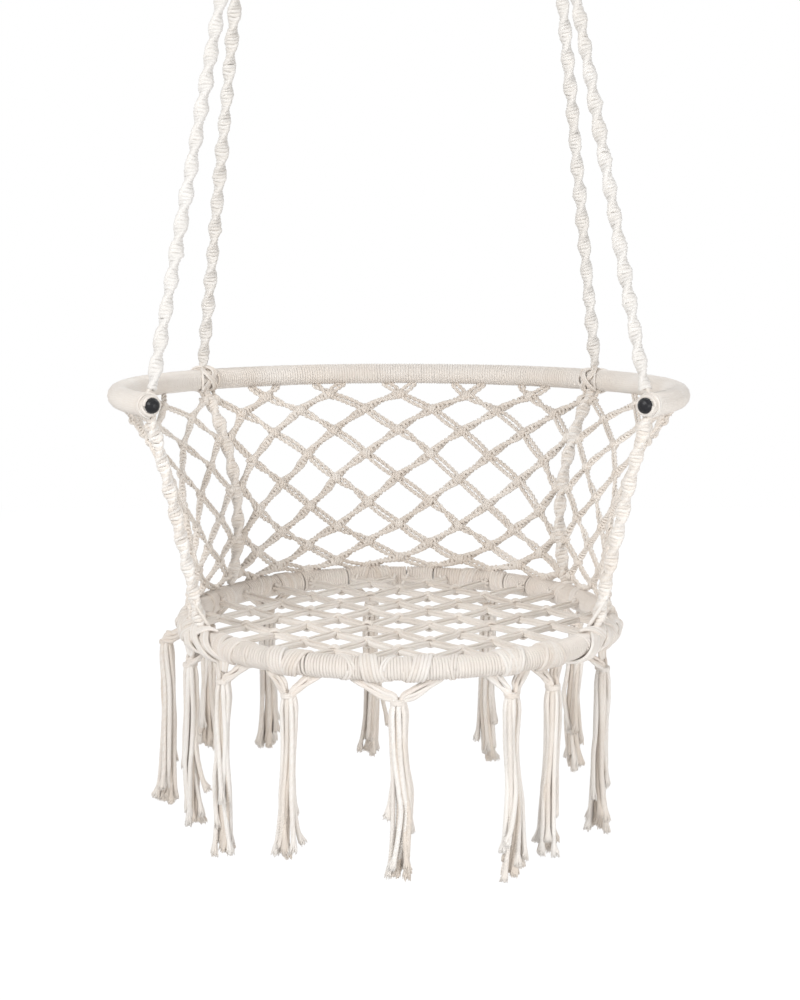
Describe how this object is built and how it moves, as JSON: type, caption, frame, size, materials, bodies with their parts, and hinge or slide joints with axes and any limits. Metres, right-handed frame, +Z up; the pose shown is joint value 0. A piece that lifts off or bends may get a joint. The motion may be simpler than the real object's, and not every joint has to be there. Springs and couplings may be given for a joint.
{
  "type": "hammock chair",
  "caption": "Hanging chair of two cord-wound steel rings joined by knotted nets, hung by twisted ropes from two steel rings, with cord tassels under the seat.",
  "frame": {"origin": "point at the top inside the left hanging ring, where it bears on its hook", "axes": "+Z up, +Y to the back of the chair, +X to the right seen from the front, towards the other hanging ring"},
  "size_m": [0.8312, 0.7542, 1.5414],
  "materials": {
    "cord": "matte",
    "steel_tube": "satin",
    "plug": "gloss",
    "steel_ring": "satin"
  },
  "bodies": {
    "hanging_rings": {"hanging_ring_left": "steel_ring", "hanging_ring_right": "steel_ring"},
    "rope_eyes": {"rope_eye_left": "cord", "rope_eye_right": "cord"},
    "left_ropes": {"suspension_rope_front_left": "cord", "suspension_rope_back_left": "cord"},
    "right_ropes": {"suspension_rope_front_right": "cord", "suspension_rope_back_right": "cord"},
    "chair": {"hoop_lashing_front_left": "cord", "lower_rope_front_left": "cord", "hoop_lashing_front_right": "cord", "lower_rope_front_right": "cord", "hoop_lashing_rear_left": "cord", "lower_rope_rear_left": "cord", "hoop_lashing_rear_right": "cord", "lower_rope_rear_right": "cord", "back_hoop_tube": "steel_tube", "seat_ring_tube": "steel_tube", "back_hoop_winding": "cord", "seat_ring_winding": "cord", "seat_net": "cord", "back_net": "cord", "side_net_left": "cord", "side_net_right": "cord", "end_plug_left": "plug", "end_plug_right": "plug", "tassel_hitch_01": "cord", "tassel_hitch_02": "cord", "tassel_hitch_03": "cord", "tassel_hitch_04": "cord", "tassel_hitch_05": "cord", "tassel_hitch_06": "cord", "tassel_hitch_07": "cord", "tassel_hitch_08": "cord", "tassel_hitch_09": "cord", "tassel_hitch_10": "cord", "tassel_hitch_11": "cord", "tassel_hitch_12": "cord", "tassel_hitch_13": "cord"},
    "tassel_01_body": {"tassel_01": "cord"},
    "tassel_02_body": {"tassel_02": "cord"},
    "tassel_03_body": {"tassel_03": "cord"},
    "tassel_04_body": {"tassel_04": "cord"},
    "tassel_05_body": {"tassel_05": "cord"},
    "tassel_06_body": {"tassel_06": "cord"},
    "tassel_07_body": {"tassel_07": "cord"},
    "tassel_08_body": {"tassel_08": "cord"},
    "tassel_09_body": {"tassel_09": "cord"},
    "tassel_10_body": {"tassel_10": "cord"},
    "tassel_11_body": {"tassel_11": "cord"},
    "tassel_12_body": {"tassel_12": "cord"},
    "tassel_13_body": {"tassel_13": "cord"}
  },
  "joints": [
    {"name": "swing", "type": "hinge", "parent": "hanging_rings", "child": "rope_eyes", "pos_m": [0.212, 0, -0.051], "axis": [1, 0, 0], "range_deg": [-25, 25]},
    {"name": "sway", "type": "hinge", "parent": "rope_eyes", "child": "left_ropes", "pos_m": [0, 0, -0.1325], "axis": [0.0472, 0.9756, -0.2143], "range_deg": [-8, 8]},
    {"name": "sway_right", "type": "hinge", "parent": "rope_eyes", "child": "right_ropes", "pos_m": [0.424, 0, -0.1325], "axis": [-0.0472, 0.9756, -0.2143], "range_deg": [-8, 8]},
    {"name": "chair_level", "type": "hinge", "parent": "left_ropes", "child": "chair", "pos_m": [-0.12648, -0.27755, -0.8917], "axis": [0.0724, 0.9964, -0.0435], "range_deg": [-5.3, 5.3]},
    {"name": "tassel_01_hang", "type": "hinge", "parent": "chair", "child": "tassel_01_body", "pos_m": [0.212, -0.38418, -1.27793], "axis": [1, 0, 0], "range_deg": [-25, 25]},
    {"name": "tassel_02_hang", "type": "hinge", "parent": "chair", "child": "tassel_02_body", "pos_m": [0.36433, -0.34442, -1.27793], "axis": [1, 0, 0], "range_deg": [-25, 25]},
    {"name": "tassel_03_hang", "type": "hinge", "parent": "chair", "child": "tassel_03_body", "pos_m": [0.06466, -0.34671, -1.27793], "axis": [1, 0, 0], "range_deg": [-25, 25]},
    {"name": "tassel_04_hang", "type": "hinge", "parent": "chair", "child": "tassel_04_body", "pos_m": [0.422, -0.30283, -1.27793], "axis": [1, 0, 0], "range_deg": [-25, 25]},
    {"name": "tassel_05_hang", "type": "hinge", "parent": "chair", "child": "tassel_05_body", "pos_m": [-0.02899, -0.27181, -1.27793], "axis": [1, 0, 0], "range_deg": [-25, 25]},
    {"name": "tassel_06_hang", "type": "hinge", "parent": "chair", "child": "tassel_06_body", "pos_m": [0.4984, -0.19711, -1.27793], "axis": [1, 0, 0], "range_deg": [-25, 25]},
    {"name": "tassel_07_hang", "type": "hinge", "parent": "chair", "child": "tassel_07_body", "pos_m": [-0.08362, -0.1772, -1.27793], "axis": [1, 0, 0], "range_deg": [-25, 25]},
    {"name": "tassel_08_hang", "type": "hinge", "parent": "chair", "child": "tassel_08_body", "pos_m": [-0.12837, -0.0696, -1.2698], "axis": [1, 0, 0], "range_deg": [-25, 25]},
    {"name": "tassel_09_hang", "type": "hinge", "parent": "chair", "child": "tassel_09_body", "pos_m": [0.48442, 0.08768, -1.27793], "axis": [1, 0, 0], "range_deg": [-25, 25]},
    {"name": "tassel_10_hang", "type": "hinge", "parent": "chair", "child": "tassel_10_body", "pos_m": [-0.0767, 0.05295, -1.27793], "axis": [1, 0, 0], "range_deg": [-25, 25]},
    {"name": "tassel_11_hang", "type": "hinge", "parent": "chair", "child": "tassel_11_body", "pos_m": [0.00587, 0.16752, -1.27793], "axis": [1, 0, 0], "range_deg": [-25, 25]},
    {"name": "tassel_12_hang", "type": "hinge", "parent": "chair", "child": "tassel_12_body", "pos_m": [0.16832, 0.2412, -1.27793], "axis": [1, 0, 0], "range_deg": [-25, 25]},
    {"name": "tassel_13_hang", "type": "hinge", "parent": "chair", "child": "tassel_13_body", "pos_m": [0.35439, 0.20986, -1.27793], "axis": [1, 0, 0], "range_deg": [-25, 25]}
  ],
  "couplings": [
    {"joint": "sway_right", "follows": "sway", "ratio": 1},
    {"joint": "chair_level", "follows": "sway", "ratio": -0.65209},
    {"joint": "tassel_01_hang", "follows": "swing", "ratio": -1},
    {"joint": "tassel_02_hang", "follows": "swing", "ratio": -1},
    {"joint": "tassel_03_hang", "follows": "swing", "ratio": -1},
    {"joint": "tassel_04_hang", "follows": "swing", "ratio": -1},
    {"joint": "tassel_05_hang", "follows": "swing", "ratio": -1},
    {"joint": "tassel_06_hang", "follows": "swing", "ratio": -1},
    {"joint": "tassel_07_hang", "follows": "swing", "ratio": -1},
    {"joint": "tassel_08_hang", "follows": "swing", "ratio": -1},
    {"joint": "tassel_09_hang", "follows": "swing", "ratio": -1},
    {"joint": "tassel_10_hang", "follows": "swing", "ratio": -1},
    {"joint": "tassel_11_hang", "follows": "swing", "ratio": -1},
    {"joint": "tassel_12_hang", "follows": "swing", "ratio": -1},
    {"joint": "tassel_13_hang", "follows": "swing", "ratio": -1}
  ]
}
